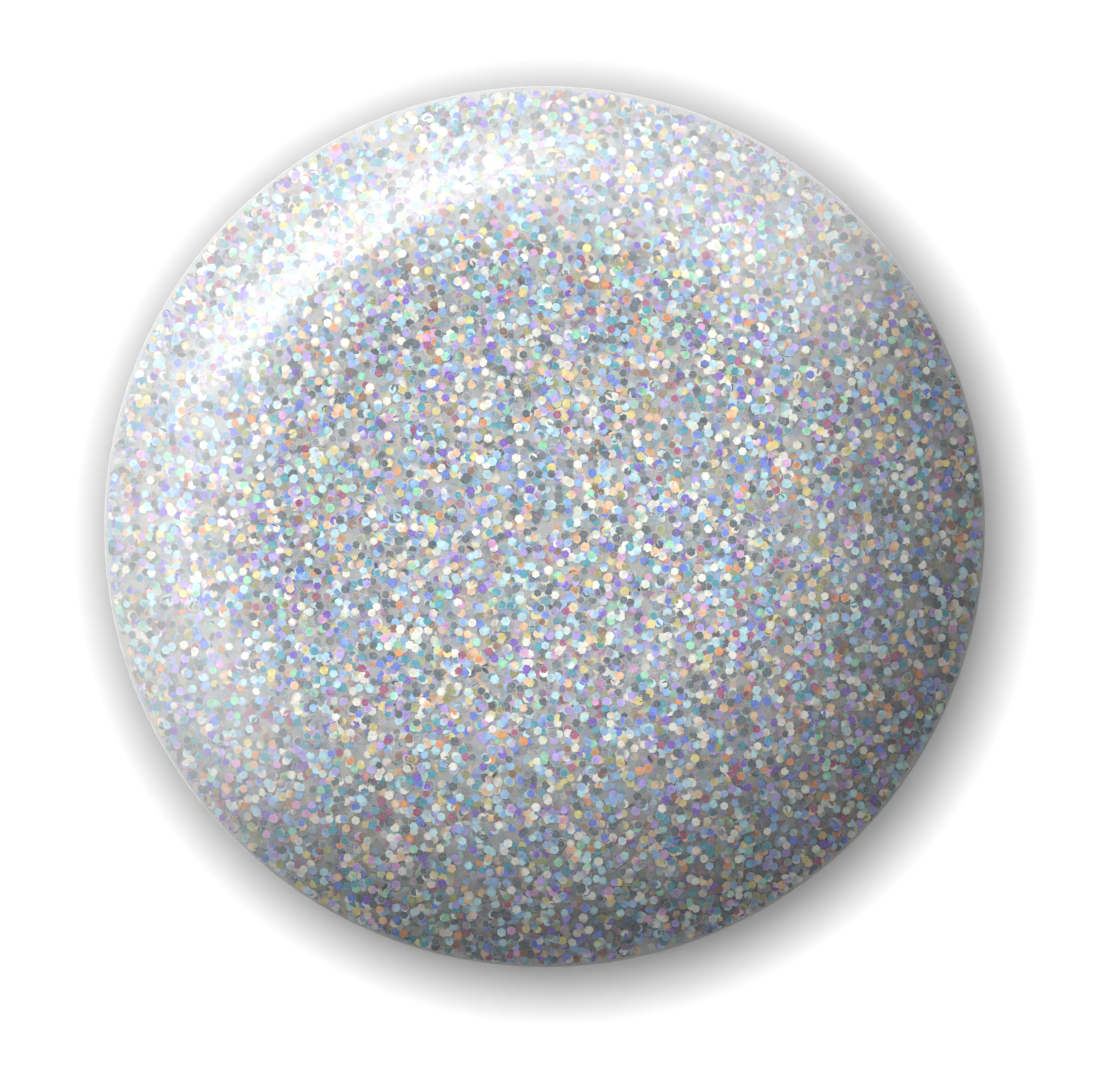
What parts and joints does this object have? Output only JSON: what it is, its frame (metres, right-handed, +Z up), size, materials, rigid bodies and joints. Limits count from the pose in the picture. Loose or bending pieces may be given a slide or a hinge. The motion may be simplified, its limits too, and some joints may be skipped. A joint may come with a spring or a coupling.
{
  "type": "nail polish bottle",
  "caption": "Round glass nail polish bottle with a screw-cap brush, a pull-off metal outer cap, and a domed glitter gel colour sample on top.",
  "frame": {"origin": "centre of the base, on the surface that the bottle stands on", "axes": "+Z up through the neck and the sample dome; the bottle is round, so +X is any side, across the flat of the brush"},
  "size_m": [0.026, 0.026, 0.0685],
  "materials": {
    "clear_glass": "clear moulded glass",
    "glitter_polish": "milky silver liquid full of holographic flakes",
    "label_paper": "blank satin label",
    "ball_steel": "polished steel",
    "seal_foil": "thin dull foil",
    "seal_foam": "closed-cell foam",
    "black_moulding": "satin moulded plastic",
    "bristle_nylon": "fine nylon filaments",
    "staple_wire": "bare flat wire",
    "satin_aluminium": "satin anodised",
    "white_moulding": "natural moulded plastic",
    "weight_steel": "zinc-plated steel",
    "tape": "double-sided foam tape",
    "clear_acrylic": "clear acrylic",
    "glitter_gel": "cured milky gel full of holographic flakes",
    "clear_coat": "glossy clear top coat"
  },
  "bodies": {
    "bottle": {"bottle_glass": "clear_glass", "polish_fill": "glitter_polish", "base_label": "label_paper"},
    "mixing_balls": {"mixing_ball_1": "ball_steel", "mixing_ball_2": "ball_steel"},
    "seal_foil": {"seal_foil": "seal_foil"},
    "seal_washer": {"seal_washer": "seal_foam"},
    "screw_cap": {"inner_cap": "black_moulding", "brush_stem": "black_moulding", "bristles": "bristle_nylon", "bristle_staple": "staple_wire"},
    "outer_cap": {"overcap_shell": "satin_aluminium", "overcap_sleeve": "white_moulding", "cap_weight": "weight_steel", "tape_pad": "tape", "sample_plate": "clear_acrylic", "sample_gel": "glitter_gel", "clear_topcoat": "clear_coat"}
  },
  "joints": [
    {"name": "ball_roll", "type": "hinge", "parent": "bottle", "child": "mixing_balls", "pos_m": [0, 0, 0.007], "axis": [0, 0, 1], "continuous": true},
    {"name": "cap_lift", "type": "slide", "parent": "bottle", "child": "seal_foil", "axis": [0, 0, 1], "range_m": [0, 0.045]},
    {"name": "cap_rise", "type": "slide", "parent": "seal_foil", "child": "seal_washer", "axis": [0, 0, 1], "range_m": [0, 0.00424]},
    {"name": "cap_turn", "type": "hinge", "parent": "seal_washer", "child": "screw_cap", "pos_m": [0, 0, 0.045], "axis": [0, 0, 1], "range_deg": [0, 720]},
    {"name": "overcap_pull", "type": "slide", "parent": "screw_cap", "child": "outer_cap", "axis": [0, 0, 1], "range_m": [0, 0.0185]}
  ],
  "couplings": [
    {"joint": "cap_rise", "follows": "cap_turn", "m_per_rad": 0.0003374}
  ]
}
